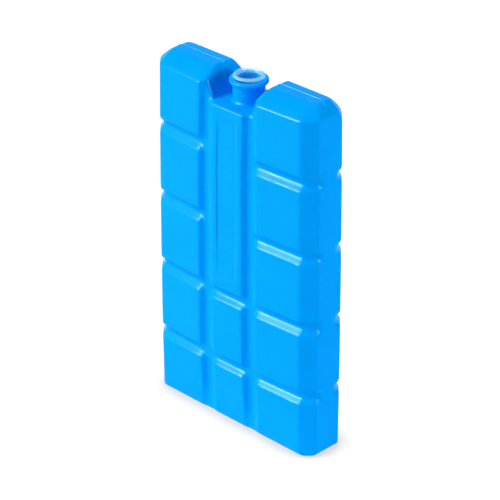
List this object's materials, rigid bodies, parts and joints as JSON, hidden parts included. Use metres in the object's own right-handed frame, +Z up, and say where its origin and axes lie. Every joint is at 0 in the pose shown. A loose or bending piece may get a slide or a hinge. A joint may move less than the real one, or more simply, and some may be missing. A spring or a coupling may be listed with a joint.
{
  "type": "reusable ice pack",
  "caption": "Slim upright freezer block with raised panels between moulded grooves, a notched top and a short filler neck closed by a push-in plug.",
  "frame": {"origin": "on the ground, under the middle of the block", "axes": "+Z up, towards the filler neck; -Y out of the face with the label recess; +X across the block"},
  "size_m": [0.1002, 0.0298, 0.1731],
  "materials": {
    "blue_shell": "glossy blow-moulded polyethylene, bright blue",
    "natural_plug": "smooth uncoloured polyethylene, slightly translucent"
  },
  "bodies": {
    "root": {"filled_body": "blue_shell", "filler_plug": "natural_plug"}
  },
  "joints": []
}
